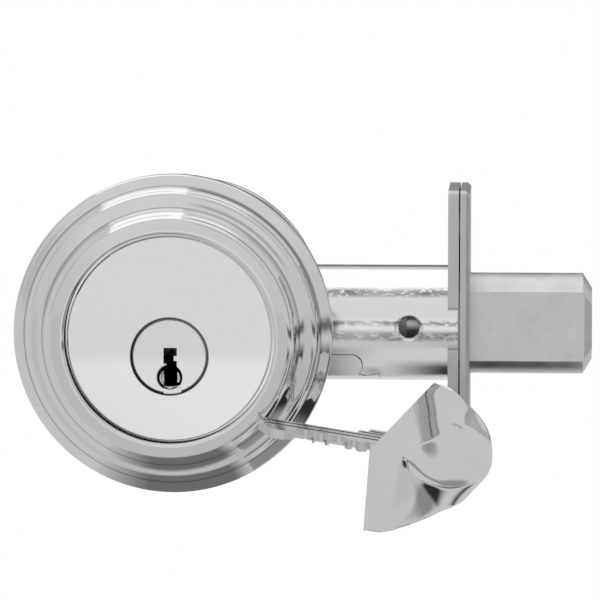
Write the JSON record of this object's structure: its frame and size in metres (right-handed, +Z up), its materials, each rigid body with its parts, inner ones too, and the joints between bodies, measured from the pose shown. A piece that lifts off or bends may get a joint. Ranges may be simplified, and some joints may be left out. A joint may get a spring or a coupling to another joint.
{
  "type": "deadbolt door lock",
  "caption": "Double cylinder tubular deadbolt with stepped round trim ring, recessed cylinder face, thrown bolt, twin edge plates and a removable thumbturn key.",
  "frame": {"origin": "middle of the cross bore, half way through the 44.45 mm door", "axes": "+X along the bolt's throw to the door edge, -Y outdoors, +Y indoors, +Z up"},
  "size_m": [0.1184, 0.107, 0.0677],
  "materials": {
    "chrome": "polished",
    "zinc_plate": "bright zinc plated",
    "cast_bolt": "satin",
    "steel_plate": "satin",
    "spring_steel": "plain",
    "hard_steel": "ground",
    "brass": "machined",
    "nickel_silver": "milled"
  },
  "bodies": {
    "lock_body": {"out_cylinder_body": "chrome", "out_driver_pins": "brass", "out_pin_springs": "spring_steel", "out_chamber_cap": "brass", "out_drill_pins": "hard_steel", "in_cylinder_body": "chrome", "in_driver_pins": "brass", "in_pin_springs": "spring_steel", "in_chamber_cap": "brass", "in_mount_plate": "steel_plate", "in_trim_ring": "chrome", "mount_screws": "zinc_plate", "faceplate": "steel_plate", "backplate": "steel_plate", "bolt_barrel": "zinc_plate", "barrel_cradle": "zinc_plate", "case_plate_out": "zinc_plate", "case_plate_in": "zinc_plate", "case_rivets": "zinc_plate"},
    "outdoor_ring": {"out_trim_ring": "chrome"},
    "bolt": {"bolt_head": "cast_bolt", "bolt_tail": "steel_plate", "bolt_rivets": "zinc_plate"},
    "roller": {"bolt_roller_pin": "hard_steel"},
    "crank": {"bolt_crank": "cast_bolt"},
    "outdoor_plug": {"out_plug": "chrome", "out_key_pins": "brass", "out_plug_clip": "spring_steel", "tailpiece": "steel_plate"},
    "indoor_plug": {"in_plug": "chrome", "in_key_pins": "brass", "in_plug_clip": "spring_steel"},
    "thumbturn_key": {"key_grip": "chrome", "key_blade": "nickel_silver", "key_cross_pin": "hard_steel"}
  },
  "joints": [
    {"name": "bolt_throw", "type": "slide", "parent": "lock_body", "child": "bolt", "axis": [1, 0, 0], "range_m": [-0.0254, 0]},
    {"name": "crank_turn", "type": "hinge", "parent": "lock_body", "child": "crank", "pos_m": [0, 0, -0.00365], "axis": [0, 1, 0], "range_deg": [-113.1, 0]},
    {"name": "outdoor_plug_turn", "type": "hinge", "parent": "lock_body", "child": "outdoor_plug", "pos_m": [0, -0.02, -0.00365], "axis": [0, 1, 0], "range_deg": [-113.1, 0]},
    {"name": "indoor_plug_turn", "type": "hinge", "parent": "lock_body", "child": "indoor_plug", "pos_m": [0, 0.02, -0.00365], "axis": [0, 1, 0], "range_deg": [-113.1, 0]},
    {"name": "outdoor_ring_spin", "type": "hinge", "parent": "lock_body", "child": "outdoor_ring", "pos_m": [0, -0.027, 0], "axis": [0, 1, 0], "continuous": true},
    {"name": "roller_spin", "type": "hinge", "parent": "bolt", "child": "roller", "pos_m": [0.07, 0, 0], "axis": [1, 0, 0], "continuous": true},
    {"name": "thumbturn_key_draw", "type": "slide", "parent": "lock_body", "child": "thumbturn_key", "axis": [0.9557, -0.2716, -0.1132], "range_m": [0, 0.032]}
  ],
  "couplings": [
    {"joint": "crank_turn", "follows": "bolt_throw", "rad_per_m": 77.647},
    {"joint": "outdoor_plug_turn", "follows": "bolt_throw", "rad_per_m": 77.647},
    {"joint": "indoor_plug_turn", "follows": "bolt_throw", "rad_per_m": 77.647}
  ]
}
